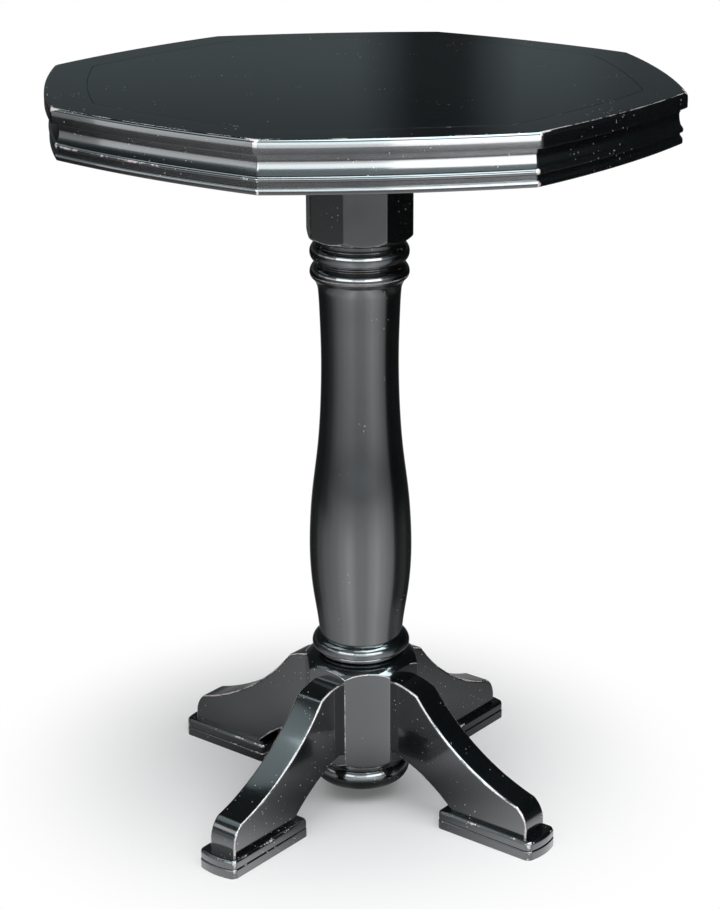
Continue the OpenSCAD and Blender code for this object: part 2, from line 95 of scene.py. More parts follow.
BLOCK_BASE_Z = high("bun_finial").z - 12 * MM
BLOCK_BASE_H = 165 * MM
BASE_APOTHEM = 79.5 * MM
NECK_APOTHEM = 71 * MM
SHOULDER_R = 34 * MM
BASE_SHOULDER_C = 57.6 * MM
NECK_SHOULDER_C = 50 * MM
NECK_FILLET_R = 62.5 * MM
BORE_R = 42 * MM
BORE_DEPTH = 132 * MM
BLOCK_EASE = 1.1 * MM
BUN_EASE = 0.5 * MM
TURN_STEPS = 160

# Angles in degrees at which the rounded shoulders of the two blocks end

BASE_END = 82
NECK_END = math.degrees(math.acos((NECK_FILLET_R - NECK_SHOULDER_C) / SHOULDER_R))

# Sizes of the legs and feet

LEG_T = 46 * MM
LEG_EASE = 3.5 * MM
KNEE_EASE = 2 * MM
LEG_REACH = 312.8 * MM
FOOT_OUT = 325.2 * MM
FOOT_L = 160.2 * MM
FOOT_W = 67 * MM
FOOT_BOW = 6.2 * MM
FOOT_CORNER = 7.5 * MM
CAP_INSET = 0.3 * MM
CAP_ROUND = 5 * MM
GROOVE_ROUND = 2.4 * MM
PAD_EASE = 0.6 * MM
FOOT_SCREWS = (205 * MM, 284.5 * MM)
SCREW_HOLE_R = 5.05 * MM
SCREW_SINK = 2 * MM


# Drawing outlines

def arc(centre, radius, start, end, steps):
    """Points along an arc, from one angle in degrees to another"""
    angles = np.radians(np.linspace(start, end, steps + 1))
    return [(centre[0] + radius * math.cos(a), centre[1] + radius * math.sin(a)) for a in angles]


def arc_to(p, q, radius, steps):
    """Arc from p to q, whose centre is left of p-q, or right of it when the radius is negative"""
    p, q = np.array(p), np.array(q)
    d = np.linalg.norm(q - p)
    left = np.array((p[1] - q[1], q[0] - p[0])) / d
    sign = math.copysign(1, radius)
    centre = (p + q) / 2 + left * sign * math.sqrt(radius * radius - d * d / 4)
    start = math.atan2(p[1] - centre[1], p[0] - centre[0])
    sweep = 2 * math.asin(d / 2 / abs(radius)) * sign
    return arc(centre, abs(radius), math.degrees(start), math.degrees(start + sweep), steps)


def joined(first, second, reach, steps=5):
    """Two stretches of an outline that meet in a corner, which is softened over a reach on both sides"""
    corner = np.array(first[-1])

    def shortened(points):
        kept = [p for p in points if math.dist(p, corner) > reach]
        toward = corner - kept[-1]
        gone = np.linalg.norm(toward) - reach
        return kept + [tuple(kept[-1] + toward / np.linalg.norm(toward) * gone)]

    before, after = shortened(first), shortened(second[::-1])[::-1]
    start, end = np.array(before[-1]), np.array(after[0])
    bend = [tuple((1 - t) ** 2 * start + 2 * t * (1 - t) * corner + t * t * end)
            for t in np.arange(1, steps) / steps]
    return before + bend + after


def spline(knots, steps):
    """A natural cubic spline through the knots, each a pair, with its first value as the parameter"""
    x, y = np.array(knots).T
    h = np.diff(x)
    n = len(x)
    system = np.eye(n)
    right = np.zeros(n)
    for i in range(1, n - 1):
        system[i, i - 1:i + 2] = h[i - 1], 2 * (h[i - 1] + h[i]), h[i]
        right[i] = 6 * ((y[i + 1] - y[i]) / h[i] - (y[i] - y[i - 1]) / h[i - 1])
    bend = np.linalg.solve(system, right)
    points = []
    for i in range(n - 1):
        for t in np.arange(steps) / steps * h[i]:
            slope = (y[i + 1] - y[i]) / h[i] - h[i] * (2 * bend[i] + bend[i + 1]) / 6
            points.append((x[i] + t, y[i] + slope * t + bend[i] / 2 * t * t
                           + (bend[i + 1] - bend[i]) / (6 * h[i]) * t ** 3))
    return points + [(x[-1], y[-1])]


# Modelling with edit mode's own tools

def edit(tool):
    """Enters edit mode, to select vertices, edges or faces"""
    bpy.ops.object.mode_set(mode="EDIT")
    bpy.ops.mesh.select_mode(type=tool)


def done():
    bpy.ops.object.mode_set(mode="OBJECT")


def work_on(piece):
    """Selects one piece alone"""
    bpy.ops.object.select_all(action="DESELECT")
    piece.select_set(True)
    bpy.context.view_layer.objects.active = piece


def draw(name, points, closed=True):
    """A new piece whose outline is drawn corner by corner, and filled when it is closed"""
    bpy.ops.object.select_all(action="DESELECT")
    bpy.ops.mesh.primitive_plane_add(size=MM, location=(0, 0, 0))
    piece = bpy.context.active_object
    piece.name = piece.data.name = name
    edit("VERT")
    bpy.ops.mesh.merge(type="CENTER")
    points = [Vector(p) for p in points]
    bpy.ops.transform.translate(value=points[0])
    for a, b in zip(points, points[1:]):
        bpy.ops.mesh.extrude_vertices_move(TRANSFORM_OT_translate={"value": b - a})
    bpy.ops.mesh.select_all(action="SELECT")
    if closed:
        bpy.ops.mesh.edge_face_add()
    return piece


def pull(offset):
    """Extrudes what is selected by an offset"""
    bpy.ops.mesh.extrude_region_move(TRANSFORM_OT_translate={"value": offset})


def close_up():
    """Welds what meets and turns every face outwards"""
    bpy.ops.mesh.select_all(action="SELECT")
    bpy.ops.mesh.remove_doubles(threshold=0.005 * MM)
    bpy.ops.mesh.normals_make_consistent(inside=False)


def pick(piece, kind, test):
    """Selects the faces, edges or vertices that pass a test, and nothing else"""
    mode = {"faces": "FACE", "edges": "EDGE", "verts": "VERT"}[kind]
    edit(mode)
    bpy.ops.mesh.select_all(action="DESELECT")
    mesh = bmesh.from_edit_mesh(piece.data)
    for item in getattr(mesh, kind):
        item.select_set(bool(test(item)))
    mesh.select_flush_mode()
    bmesh.update_edit_mesh(piece.data)


def middle(item):
    """The middle of a face or an edge"""
    corners = [v.co for v in item.verts]
    return sum(corners, Vector()) / len(corners)


def sharper(edge, degrees):
    """Whether an edge stands out by more than an angle"""
    return edge.is_manifold and edge.is_convex and edge.calc_face_angle() > math.radians(degrees)


def cut(point, normal, remove=False, fill=False):
    """Cuts all of the piece with a plane, and may remove what lies on the normal's side"""
    bpy.ops.mesh.select_all(action="SELECT")
    bpy.ops.mesh.bisect(plane_co=point, plane_no=normal, clear_outer=remove, use_fill=fill,
                        threshold=0.001 * MM)


def turn(name, outline):
    """A turned piece from an outline of [radius, height] that starts and ends on the axis"""
    piece = draw(name, [(r, 0, z) for r, z in outline], closed=False)
    bpy.ops.mesh.spin(steps=TURN_STEPS, angle=math.tau, center=(0, 0, 0), axis=(0, 0, 1),
                      use_auto_merge=True)
    close_up()
    done()
    return piece


def copy_turned(piece, name, angle):
    """A copy with its own mesh, turned about the column's axis"""
    work_on(piece)
    bpy.ops.object.duplicate()
    twin = bpy.context.active_object
    twin.name = twin.data.name = name
    twin.rotation_euler.z = angle
    bpy.ops.object.transform_apply(location=False, rotation=True, scale=False)
    return twin


# Rubbed edges

def arrises(piece, degrees=26, keep=lambda point: True):
    """Points every millimetre along the sharp edges, which are the places that rub through"""
    mesh = bmesh.new()
    mesh.from_mesh(piece.data)
    spots = []
    for edge in mesh.edges:
        if sharper(edge, degrees) and keep(middle(edge)):
            a, b = (v.co for v in edge.verts)
            count = max(1, round((b - a).length / MM))
            spots += [a.lerp(b, i / count) for i in range(count + 1)]
    mesh.free()
    return spots


def rub_and_paint_highlights(piece, spots, width, share=lambda point: 1, more=lambda point: 0):
    """Stores how far each point is rubbed: its share on the crest of an eased arris, and 0 where the easing
    ends. Some places are rubbed more. On the legs and feet the pale this gives also stands for painted
    highlights along the eased arrises"""
    tree = KDTree(len(spots))
    for i, spot in enumerate(spots):
        tree.insert(spot, i)
    tree.balance()
    crest = (math.sqrt(2) - 1) * width
    worn_and_painted_highlight = []
    for v in piece.data.vertices:
        near = 1 - (tree.find(v.co)[2] - crest) / (width - crest)
        worn_and_painted_highlight.append(max(0, share(v.co) * min(1, near), more(v.co)))
    piece.data.attributes.new("rubbed_and_painted_highlight", "FLOAT", "POINT").data.foreach_set("value", worn_and_painted_highlight)


def ease(piece, width, segments, degrees=26, keep=lambda point: True):
    """Rounds the sharp edges over"""
    pick(piece, "edges", lambda e: sharper(e, degrees) and keep(middle(e)))
    bpy.ops.mesh.bevel(offset=width, segments=segments, affect="EDGES")
    done()


def bore(piece, places, radius, low_z, high_z):
    """Drills upright holes for screws into a piece"""
    for x, y in places:
        bpy.ops.object.select_all(action="DESELECT")
        bpy.ops.mesh.primitive_cylinder_add(vertices=32, radius=radius, depth=high_z - low_z,
                                            location=(x, y, (low_z + high_z) / 2))
        drill = bpy.context.active_object
        work_on(piece)
        hole = piece.modifiers.new("hole", "BOOLEAN")
        hole.operation = "DIFFERENCE"
        hole.solver = "EXACT"
        hole.object = drill
        bpy.ops.object.modifier_apply(modifier="hole")
        bpy.data.objects.remove(drill)


def finish_piece(piece, material, node):
    """Shades and paints a piece, which then stands for its node"""
    work_on(piece)
    bpy.ops.object.shade_smooth_by_angle(angle=math.radians(40))
    piece.modifiers.new("flats", "WEIGHTED_NORMAL").keep_sharp = True
    bpy.ops.object.modifier_apply(modifier="flats")
    piece.data.materials.clear()
    piece.data.materials.append(material)
    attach(piece, "root")
    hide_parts(node)


# Materials

# Settings that many nodes share: a soft step, by default from 0 to 1, and a mix of two colours
SOFT_STEP = {"interpolation_type": "SMOOTHSTEP"}
OF_COLOURS = {"out": 2, "data_type": "RGBA"}
WHITE = (1, 1, 1, 1)


def srgb(code):
    """A colour written as an sRGB hex value, as linear light"""
    values = [int(code[i:i + 2], 16) / 255 for i in (1, 3, 5)]
    return (*[c / 12.92 if c <= 0.04045 else ((c + 0.055) / 1.055) ** 2.4 for c in values], 1)


def add(tree, kind, inputs=None, out=0, **settings):
    """Adds a node with its settings. Each input that is named or numbered takes a value or a link, and
    the output asked for comes back"""
    node = tree.nodes.new("ShaderNode" + kind)
    for key, value in settings.items():
        setattr(node, key, value)
    for key, value in (inputs or {}).items():
        if isinstance(value, bpy.types.NodeSocket):
            tree.links.new(value, node.inputs[key])
        else:
            node.inputs[key].default_value = value
    return node.outputs[out] if node.outputs else None


def per_mm(size):
    """A pattern's scale when one cell of it is size millimetres"""
    return 1 / (size * MM)


def new_material(name):
    material = bpy.data.materials.new(name)
    material.use_nodes = True
    material.node_tree.nodes.clear()
    return material, material.node_tree


def lacquer(name, grain, flecks, rubbed_and_painted_highlight, spattered):
    """Black lacquer sprayed on wood, rubbed through at the arrises and clear-coated to a satin gloss.
    It gives a deep cool black with soft bright reflections, pale pinkish rubs and tiny pale flecks. On the
    legs and feet the pale at the arrises is partly a painted highlight."""
    material, tree = new_material(name)
    place = add(tree, "TexCoord", out="Object")
    grained = add(tree, "Mapping", {"Vector": place, "Scale": grain})

    # The pigment, a little uneven over 120 mm and mottled at 2.5 mm
    uneven = add(tree, "TexNoise", {"Vector": place, "Scale": per_mm(120)})
    mottled = add(tree, "TexNoise", {"Vector": place, "Scale": per_mm(2.5)})
    shade = add(tree, "Mix", {0: 0.5, 2: uneven, 3: mottled})
    black = add(tree, "Mix", {0: shade, 6: srgb("#07090a"), 7: srgb("#101415")}, **OF_COLOURS)

    # Flecks thrown off the brush: 2 mm dots on a 6 mm lattice, in clusters 55 mm across and where the
    # real table is spattered most
    cells = add(tree, "TexVoronoi", {"Vector": place, "Scale": per_mm(6)})
    dots = add(tree, "MapRange", {"Value": cells, "From Min": 0.19, "From Max": 0.1}, **SOFT_STEP)
    lot = add(tree, "SeparateColor", {"Color": cells.node.outputs["Color"]})
    chosen = add(tree, "MapRange", {"Value": lot, "From Min": 0.4, "From Max": 0.7}, **SOFT_STEP)
    cloudy = add(tree, "TexNoise", {"Vector": place, "Scale": per_mm(55), "Detail": 1})
    start = 0.62 - 0.14 * flecks
    where = add(tree, "MapRange", {"Value": cloudy, "From Min": start, "From Max": start + 0.08},
                **SOFT_STEP)
    for *centre, reach in spattered:
        away = add(tree, "VectorMath", {0: place, 1: Vector(centre) * MM}, "Value", operation="DISTANCE")
        edge = reach * MM
        spatter = add(tree, "MapRange", {"Value": away, "From Min": edge, "From Max": edge / 2}, **SOFT_STEP)
        where = add(tree, "Math", {0: where, 1: spatter}, operation="MAXIMUM")
    dots = add(tree, "Math", {0: dots, 1: chosen}, operation="MULTIPLY")
    fleck = add(tree, "Math", {0: dots, 1: where}, operation="MULTIPLY")

    # Rubbed arrises, and on the legs and feet partly painted highlights: the stored value, made ragged at 3
    # mm and patchy at 28 mm
    wear_and_painted_highlight = add(tree, "Attribute", out="Fac", attribute_name="rubbed_and_painted_highlight")
    ragged = add(tree, "TexNoise", {"Vector": place, "Scale": per_mm(3), "Detail": 3, "Roughness": 0.6})
    patchy = add(tree, "TexNoise", {"Vector": place, "Scale": per_mm(28)})
    rub_depth_and_painted_highlight = add(tree, "Math", {0: patchy, 1: 1.5, 2: wear_and_painted_highlight}, operation="MULTIPLY_ADD")
    rub_depth_and_painted_highlight = add(tree, "Math", {0: ragged, 1: 0.6, 2: rub_depth_and_painted_highlight}, operation="MULTIPLY_ADD")
    start = 2.1 - 0.3 * rubbed_and_painted_highlight
    bare_and_painted_highlight = add(tree, "MapRange", {"Value": rub_depth_and_painted_highlight, "From Min": start, "From Max": start + 0.15},
               **SOFT_STEP)

    # A fleck hides the black less than a rub does
    fleck = add(tree, "Math", {0: fleck, 1: 0.8}, operation="MULTIPLY")
    worn_and_painted_highlight = add(tree, "Math", {0: bare_and_painted_highlight, 1: fleck}, operation="MAXIMUM")
    chalky = add(tree, "TexNoise", {"Vector": place, "Scale": per_mm(6), "Detail": 3})
    undercoat = add(tree, "Mix", {0: chalky, 6: srgb("#c9b8b8"), 7: srgb("#f0e6e6")}, **OF_COLOURS)
    colour = add(tree, "Mix", {0: worn_and_painted_highlight, 6: black, 7: undercoat}, **OF_COLOURS)

    # Satin that clouds a little over 30 mm, and is dull where it is rubbed
    hazy = add(tree, "TexNoise", {"Vector": place, "Scale": per_mm(30), "Detail": 3})
    sheen = add(tree, "Math", {0: hazy, 1: 0.08, 2: 0.14}, operation="MULTIPLY_ADD")
    rough = add(tree, "Math", {0: worn_and_painted_highlight, 1: 0.25, 2: sheen}, operation="MULTIPLY_ADD")

    # Grain that shows faintly through the film, orange peel 2.2 mm across, and the step of a rub
    ridges = add(tree, "TexNoise", {"Vector": grained, "Scale": per_mm(1.6), "Detail": 3, "Roughness": 0.6})
    peel = add(tree, "TexNoise", {"Vector": place, "Scale": per_mm(2.2), "Detail": 1})
    film = add(tree, "Mix", {0: 0.6, 2: ridges, 3: peel})
    height = add(tree, "Math", {0: worn_and_painted_highlight, 1: -1.5, 2: film}, operation="MULTIPLY_ADD")
    relief = add(tree, "Bump", {"Height": height, "Strength": 0.3, "Distance": 0.04 * MM})

    shader = add(tree, "BsdfPrincipled", {"Base Color": colour, "Roughness": rough, "Normal": relief,
                                          "IOR": 1.6, "Coat Weight": 1, "Coat Roughness": 0.085,
                                          "Coat IOR": 1.7})
    add(tree, "OutputMaterial", {"Surface": shader})
    return material


def sawn_wood(name):
    """Poplar, planed and left bare: pale, with soft long grain, for the pieces that stay out of sight"""
    material, tree = new_material(name)
    place = add(tree, "TexCoord", out="Object")
    along = add(tree, "Mapping", {"Vector": place, "Scale": (1, 0.08, 1)})

    # Growth rings 7 mm apart and pores 0.9 mm across, both drawn out along the board
    rings = add(tree, "TexNoise", {"Vector": along, "Scale": per_mm(7), "Detail": 4, "Roughness": 0.6})
    pores = add(tree, "TexNoise", {"Vector": along, "Scale": per_mm(0.9)})
    pale = add(tree, "MapRange", {"Value": rings, "From Min": 0.35, "From Max": 0.65}, **SOFT_STEP)
    dark = add(tree, "MapRange", {"Value": pores, "From Min": 0.55, "From Max": 0.75, "To Max": 0.35},
               **SOFT_STEP)
    colour = add(tree, "Mix", {0: pale, 6: srgb("#b0936a"), 7: srgb("#cdb48b")}, **OF_COLOURS)
    colour = add(tree, "Mix", {0: dark, 6: colour, 7: srgb("#8a6f4c")}, **OF_COLOURS)
    rough = add(tree, "Math", {0: pores, 1: 0.2, 2: 0.55}, operation="MULTIPLY_ADD")
    relief = add(tree, "Bump", {"Height": pores, "Strength": 0.5, "Distance": 0.1 * MM})
    shader = add(tree, "BsdfPrincipled", {"Base Color": colour, "Roughness": rough, "Normal": relief})
    add(tree, "OutputMaterial", {"Surface": shader})
    return material


def zinc(name):
    """Zinc-plated steel: a bright grey metal with a faint tarnish, in blotches 3 mm across"""
    material, tree = new_material(name)
    place = add(tree, "TexCoord", out="Object")
    blotch = add(tree, "TexNoise", {"Vector": place, "Scale": per_mm(3), "Detail": 3})
    colour = add(tree, "Mix", {0: blotch, 6: srgb("#a9adb0"), 7: srgb("#c8cbcc")}, **OF_COLOURS)
    rough = add(tree, "Math", {0: blotch, 1: 0.2, 2: 0.25}, operation="MULTIPLY_ADD")
    shader = add(tree, "BsdfPrincipled", {"Base Color": colour, "Roughness": rough, "Metallic": 1})
    add(tree, "OutputMaterial", {"Surface": shader})
    return material


# Each finish has the stretch of its grain, how many flecks it has and how far it is rubbed through, which on
# the legs and feet also paints highlights, and the places that are spattered, each a centre and a reach in
# millimetres
TOP_LACQUER = lacquer("black_lacquer_on_the_top", (1, 0.06, 1), 0.0, 0.7,
                      ((-264, -323, 1058, 38), (287, -296, 1064, 60), (270, -215, 1064, 45)))
EDGE_LACQUER = lacquer("black_lacquer_on_the_mouldings", (1, 0.06, 1), 0.2, 0.7,
                       ((-268, -312, 1028, 48), (278, -305, 1025, 60)))
COLUMN_LACQUER = lacquer("black_lacquer_on_the_turning", (1, 1, 0.06), 0.2, 0.5,
                         ((-45, -55, 892, 24), (50, -50, 887, 26), (23, -51, 740, 22)))
# The legs' strong rub is partly a painted highlight along their eased arrises
LEG_LACQUER = lacquer("black_lacquer_on_the_legs", (1, 1, 0.3), 1.0, 1.3,
                      ((-77, 86, 193, 45), (150, 118, 115, 45), (109, 77, 175, 40), (-194, -163, 88, 40)))
BARE_WOOD = sawn_wood("planed_poplar")
ZINC = zinc("zinc_plated_steel")


# Camera, stage and lights

# The camera that makes the table's outline fit the photograph
FRAME_HEIGHT_PX = 909
FOCAL_PX = 2182.2
CAMERA_AT = Vector((-0.33782, -2.91576, 1.55421))
CAMERA_RIGHT = Vector((0.99322, -0.11616, -0.00345))
CAMERA_UP = Vector((0.04157, 0.32739, 0.94397))
FRONT = math.atan2(CAMERA_AT.y, CAMERA_AT.x)

# How bright the studio's walls and floor look in the lacquer, by their bearing from the table in degrees to
# the right of the camera's side: lit in front and to the left, black to the right. On the floor this
# brightness is a painted reflection, a glow that only reflections see
WALLS = ((-180, 0.17), (-176, 0.16), (-150, 0.12), (-128, 0.12), (-105, 0.2), (-92, 0.26), (-85, 0.38),
         (-74, 0.6), (-62, 1.1), (-45, 2.6), (30, 4), (45, 2), (62, 1.1), (78, 0.3), (95, 0.05), (115, 0.01),
         (150, 0.03), (168, 0.09), (173, 0.12), (175.2, 0.2), (176.2, 0.18), (177.3, 0.03), (178.7, 0.03),
         (179.7, 0.16), (180, 0.17))
PAINTED_NEAR_FLOOR = ((-180, 0.4), (-166, 0.25), (-150, 0.03), (-135, 0.03), (-118, 0.06), (-102, 0.28), (-80, 0.62),
              (-60, 0.9), (-40, 1.35), (-25, 1.8), (-5, 1.2), (10, 1.2), (25, 1.6), (36, 1.85), (50, 1.4),
              (66, 1.0), (76, 0.7), (82, 0.12), (90, 0.06), (101, 0.1), (113, 0.1), (130, 0.03), (150, 0.02),
              (170, 0.3), (180, 0.4))
PAINTED_FAR_FLOOR = ((-180, 0.16), (-166, 0.13), (-150, 0.02), (-112, 0.04), (-97, 0.1), (-88, 0.16), (-76, 0.42),
             (-60, 0.8), (-40, 1.1), (-25, 1.25), (-5, 1.05), (10, 1.08), (25, 1.35), (36, 1.55), (50, 1.3),
             (66, 0.9), (76, 0.55), (82, 0.06), (90, 0.02), (150, 0.02), (170, 0.12), (180, 0.16))
BRIGHTEST = 4
COOL = srgb("#e4f9ff")
NEUTRAL = srgb("#fafdff")

# The middle of the floor's painted shadow: towards it the floor's white glow fades and the lamps' real
# shadow shows
PAINTED_SHADOW_AT = (-0.02, 0.08, 0)


def place_camera():
    data = bpy.data.cameras.new("camera")
    data.sensor_width = 36
    data.lens = 36 * FOCAL_PX / FRAME_HEIGHT_PX
    camera = bpy.data.objects.new("camera", data)
    bpy.context.scene.collection.objects.link(camera)
    back = CAMERA_RIGHT.cross(CAMERA_UP)
    turned = Matrix((CAMERA_RIGHT, CAMERA_UP, back)).transposed().to_4x4()
    camera.matrix_world = Matrix.Translation(CAMERA_AT) @ turned
    bpy.context.scene.camera = camera


def softbox(name, azimuth, elevation, distance, width, height, level, height_aimed, mirrored, tint=NEUTRAL):
    """An area light of a given radiance, placed by its angles in degrees from a point on the table's
    axis. It is only mirrored in the lacquer, or it only lights surfaces and isn't mirrored"""
    data = bpy.data.lights.new(name, "AREA")
    data.shape = "RECTANGLE"
    data.size, data.size_y = width, height
    data.energy = level * math.pi * width * height
    data.color = tint[:3]
    lamp = bpy.data.objects.new(name, data)
    bpy.context.scene.collection.objects.link(lamp)
    a = FRONT + math.radians(azimuth)
    e = math.radians(elevation)
    way = Vector((math.cos(a) * math.cos(e), math.sin(a) * math.cos(e), math.sin(e)))
    lamp.location = Vector((0, 0, height_aimed)) + way * distance
    lamp.rotation_euler = way.to_track_quat("Z", "Y").to_euler()
    lamp.visible_camera = False
    lamp.visible_diffuse = not mirrored
    lamp.visible_glossy = mirrored


def light_the_studio():
    softbox("right_softbox", 31, 1.2, 2.3, 1.6, 0.8, 8.5, TOP_Z, True)
    softbox("middle_softbox", -1, -0.3, 2.4, 1.1, 0.7, 4.4, TOP_Z, True)
    softbox("left_softbox", -35, 1.4, 2.3, 1.6, 0.76, 7.0, TOP_Z, True)
    softbox("overhead_bank", 47, 58, 2.4, 2.4, 2.0, 8.5, TOP_Z, True, COOL)
    softbox("top_bank", 92, 70, 2.4, 1.8, 1.6, 7.0, TOP_Z, True, COOL)
    softbox("front_bank", -6, 50, 2.4, 0.9, 1.3, 2.8, TOP_Z, True, COOL)
    softbox("left_panel", -70, -2.5, 2.3, 1.1, 0.46, 2.35, TOP_Z, True)
    softbox("far_left_panel", -94, -2.2, 2.3, 0.9, 0.44, 0.75, TOP_Z, True)
    softbox("left_bank", -77, 46, 2.4, 1.2, 1.2, 2.6, TOP_Z, True, COOL)
    softbox("low_left_bank", -100, 45, 2.4, 1.2, 0.8, 0.95, 0.2, True, COOL)
    softbox("key_light", 38, 58, 3.2, 2.6, 2.6, 3.3, 0.5, False)
    softbox("fill_light", -35, 50, 3.2, 2.6, 2.0, 1.9, 0.5, False)


def panorama(tree, way, stops, tint):
    """Brightness round the table from a list of bearings. The ramp runs from behind the table, past the
    camera's side in its middle, to behind the table again"""
    x = add(tree, "SeparateXYZ", {"Vector": way})
    angle = add(tree, "Math", {0: x.node.outputs["Y"], 1: x}, operation="ARCTAN2")
    turned = add(tree, "Math", {0: angle, 1: FRONT}, operation="SUBTRACT")
    share = add(tree, "Math", {0: turned, 1: 1 / math.tau, 2: 0.5}, operation="MULTIPLY_ADD")
    around = add(tree, "Math", {0: share, 1: 1, 2: 0}, operation="WRAP")
    brightness = add(tree, "ValToRGB", {"Fac": around})
    bar = brightness.node.color_ramp
    bar.interpolation = "EASE"
    while len(bar.elements) < len(stops):
        bar.elements.new(0.5)
    for stop, (degrees, level) in zip(bar.elements, stops):
        stop.position = degrees / 360 + 0.5
        stop.color = tuple(level / BRIGHTEST * c for c in tint[:3]) + (1,)
    return brightness


def paint_the_world():
    """White to the camera, the studio's walls and ceiling to reflections, and a low fill to the rest"""
    world = bpy.data.worlds.new("studio")
    bpy.context.scene.world = world
    world.use_nodes = True
    tree = world.node_tree
    tree.nodes.clear()
    camera_ray = add(tree, "LightPath", out="Is Camera Ray")
    glossy_ray = camera_ray.node.outputs["Is Glossy Ray"]
    way = add(tree, "TexCoord", out="Generated")
    north = add(tree, "SeparateXYZ", {"Vector": way}, "Y")
    up = north.node.outputs["Z"]
    level = add(tree, "MapRange", {"Value": up, "From Min": 0.12, "From Max": 0.2, "To Min": BRIGHTEST,
                                   "To Max": 0.28 * BRIGHTEST}, **SOFT_STEP)

    # The foot of the wall behind the table is darker than the wall above it
    behind = add(tree, "MapRange", {"Value": north, "From Min": 0.8, "From Max": 0.95}, **SOFT_STEP)
    loss = add(tree, "MapRange", {"Value": up, "From Min": 0.156, "From Max": 0.132, "To Max": -0.5},
               **SOFT_STEP)
    foot = add(tree, "Math", {0: behind, 1: loss, 2: 1}, operation="MULTIPLY_ADD")
    level = add(tree, "Math", {0: level, 1: foot}, operation="MULTIPLY")

    white = add(tree, "Background", {"Color": WHITE, "Strength": 1})
    mirrored = add(tree, "Background", {"Color": panorama(tree, way, WALLS, COOL), "Strength": level})
    fill = add(tree, "Background", {"Color": WHITE, "Strength": 0.25})
    unseen = add(tree, "MixShader", {0: glossy_ray, 1: fill, 2: mirrored})
    surface = add(tree, "MixShader", {0: camera_ray, 1: unseen, 2: white})
    add(tree, "OutputWorld", {"Surface": surface})


def lay_the_floor():
    """A wide white floor that keeps the table's soft shadow and fades to white beyond it. The shadow is
    partly painted: the white glow fades towards a point beside the table, which shapes where the lamps'
    shadow shows
    """
    bpy.ops.object.select_all(action="DESELECT")
    bpy.ops.mesh.primitive_plane_add(size=40, location=(0, 0, 0))
    floor = bpy.context.active_object
    floor.name = "studio_floor"
    material, tree = new_material("matt_white_vinyl")
    camera_ray = add(tree, "LightPath", out="Is Camera Ray")
    glossy_ray = camera_ray.node.outputs["Is Glossy Ray"]
    place = add(tree, "TexCoord", out="Object")
    matt = add(tree, "BsdfDiffuse", {"Color": srgb("#f2f2f2")})
    white = add(tree, "Emission", {"Color": WHITE, "Strength": 1})
    # Painted shadow: the camera sees the matt floor near a point beside the table, and white glow further
    # off
    from_painted_shadow = add(tree, "VectorMath", {0: place, 1: PAINTED_SHADOW_AT}, "Value", operation="DISTANCE")
    glow_around_painted_shadow = add(tree, "MapRange", {"Value": from_painted_shadow, "From Min": 0.1, "From Max": 0.58, "To Min": 0.1},
                  **SOFT_STEP)
    glow_around_painted_shadow = add(tree, "Math", {0: glow_around_painted_shadow, 1: camera_ray}, operation="MULTIPLY")
    seen = add(tree, "MixShader", {0: glow_around_painted_shadow, 1: matt, 2: white})

    # In the lacquer the floor is a painted reflection, a glow that only reflections see: bright in front and
    # to the left, with painted shade under the table, even close to it, and dim again far in front
    far = add(tree, "VectorMath", {0: place}, "Value", operation="LENGTH")
    beyond = add(tree, "MapRange", {"Value": far, "From Min": 1.2, "From Max": 2.2}, **SOFT_STEP)
    near_floor = panorama(tree, place, PAINTED_NEAR_FLOOR, NEUTRAL)
    far_floor = panorama(tree, place, PAINTED_FAR_FLOOR, NEUTRAL)
    around = add(tree, "Mix", {0: beyond, 6: near_floor, 7: far_floor}, **OF_COLOURS)
    close = add(tree, "MapRange", {"Value": far, "From Min": 0.6, "From Max": 0.35, "To Max": 0.25},
                **SOFT_STEP)
    even = tuple(c / BRIGHTEST for c in NEUTRAL[:3]) + (1,)
    around = add(tree, "Mix", {0: close, 6: around, 7: even}, **OF_COLOURS)
    painted_shade_under_table = add(tree, "MapRange", {"Value": far, "From Min": 0.1, "From Max": 0.35, "To Min": 0.08},
                 **SOFT_STEP)
    distant = add(tree, "MapRange", {"Value": far, "From Min": 1, "From Max": 5, "To Min": BRIGHTEST,
                                     "To Max": 0.38 * BRIGHTEST}, **SOFT_STEP)
    level = add(tree, "Math", {0: painted_shade_under_table, 1: distant}, operation="MULTIPLY")
    mirrored = add(tree, "Emission", {"Color": around, "Strength": level})
    surface = add(tree, "MixShader", {0: glossy_ray, 1: seen, 2: mirrored})
    add(tree, "OutputMaterial", {"Surface": surface})
    floor.data.materials.append(material)


# The top

APOTHEM = SIDE_REACH - SIDE_BOW
HALF_SIDE = APOTHEM * math.tan(EIGHTH / 2)
SIDE_R = (HALF_SIDE ** 2 + SIDE_BOW ** 2) / (2 * SIDE_BOW)
SIDE_C = SIDE_R - SIDE_REACH


def side_angle(i):
    return math.radians(-90) + EIGHTH * i


def bowed_side(inset, steps):
    """Plan of the side that faces +X, from one mitre to the next, moved in by inset"""
    radius = SIDE_R - inset
    s, c = math.sin(EIGHTH / 2), math.cos(EIGHTH / 2)
    corner = -SIDE_C * c + math.sqrt(radius ** 2 - (SIDE_C * s) ** 2)
    half = math.degrees(math.asin(corner * s / radius))
    return arc((-SIDE_C, 0), radius, -half, half, steps)


def octagon(inset, steps):
    """Plan of the whole top moved in by inset"""
    points = []
    for i in range(8):
        c, s = math.cos(side_angle(i)), math.sin(side_angle(i))
        points += [(x * c - y * s, x * s + y * c) for x, y in bowed_side(inset, steps)[:-1]]
    return points


def mitre_normal(angle):
    """Across the vertical plane through the axis at an angle"""
    return Vector((-math.sin(angle), math.cos(angle), 0))


